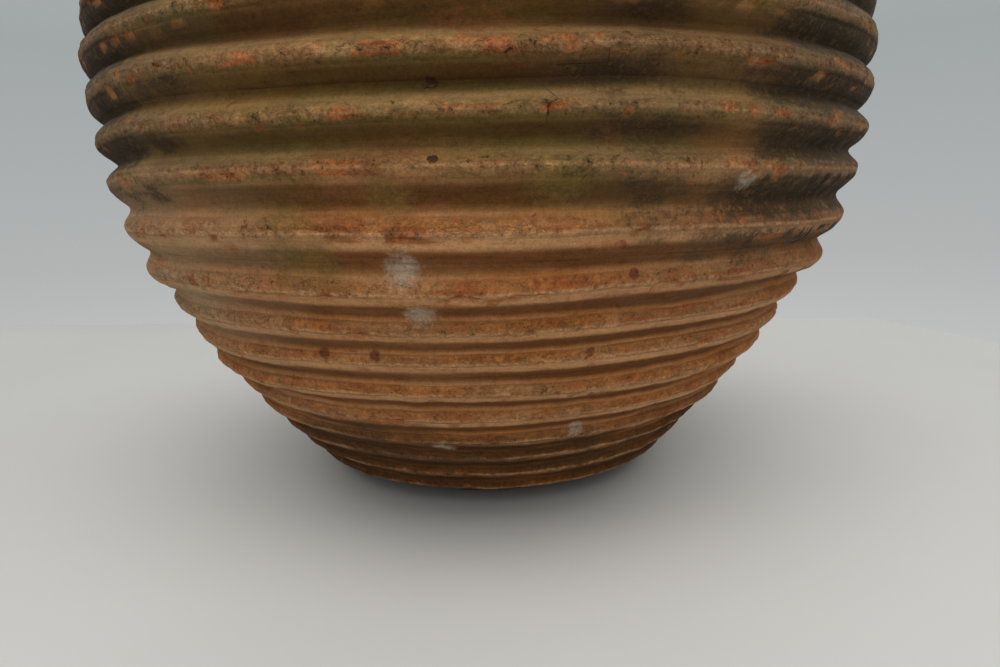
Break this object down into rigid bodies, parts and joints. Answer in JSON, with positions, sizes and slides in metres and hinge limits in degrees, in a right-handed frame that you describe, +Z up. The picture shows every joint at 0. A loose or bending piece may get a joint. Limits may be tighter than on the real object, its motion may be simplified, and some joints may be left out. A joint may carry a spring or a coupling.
{
  "type": "amphora",
  "caption": "Globular terracotta jar with ringed walls, a flat foot, a short neck with a rolled rim and two strap handles.",
  "frame": {"origin": "middle of the flat underside, on the floor", "axes": "+Z up along the jar's axis to the mouth; the two handles lie along +X and -X"},
  "size_m": [0.6004, 0.6004, 0.7],
  "materials": {
    "foot_clay": "unglazed terracotta, damp-darkened and gritty where it stands",
    "lower_clay": "unglazed weathered terracotta, orange tan with lime bloom and pits",
    "upper_clay": "unglazed terracotta under a grey-brown weathered slip, dark in the grooves and worn to red on the ribs",
    "neck_clay": "unglazed terracotta under a grey-brown weathered slip",
    "handle_clay": "unglazed terracotta, rubbed along the strap"
  },
  "bodies": {
    "root": {"base_disc": "foot_clay", "course_1": "lower_clay", "course_2": "lower_clay", "course_3": "lower_clay", "course_4": "upper_clay", "course_5": "upper_clay", "course_6": "upper_clay", "course_7": "upper_clay", "course_8": "upper_clay", "neck": "neck_clay", "rim": "neck_clay", "handle_left": "handle_clay", "handle_left_upper_root": "handle_clay", "handle_left_lower_root": "handle_clay", "handle_right": "handle_clay", "handle_right_upper_root": "handle_clay", "handle_right_lower_root": "handle_clay"}
  },
  "joints": []
}
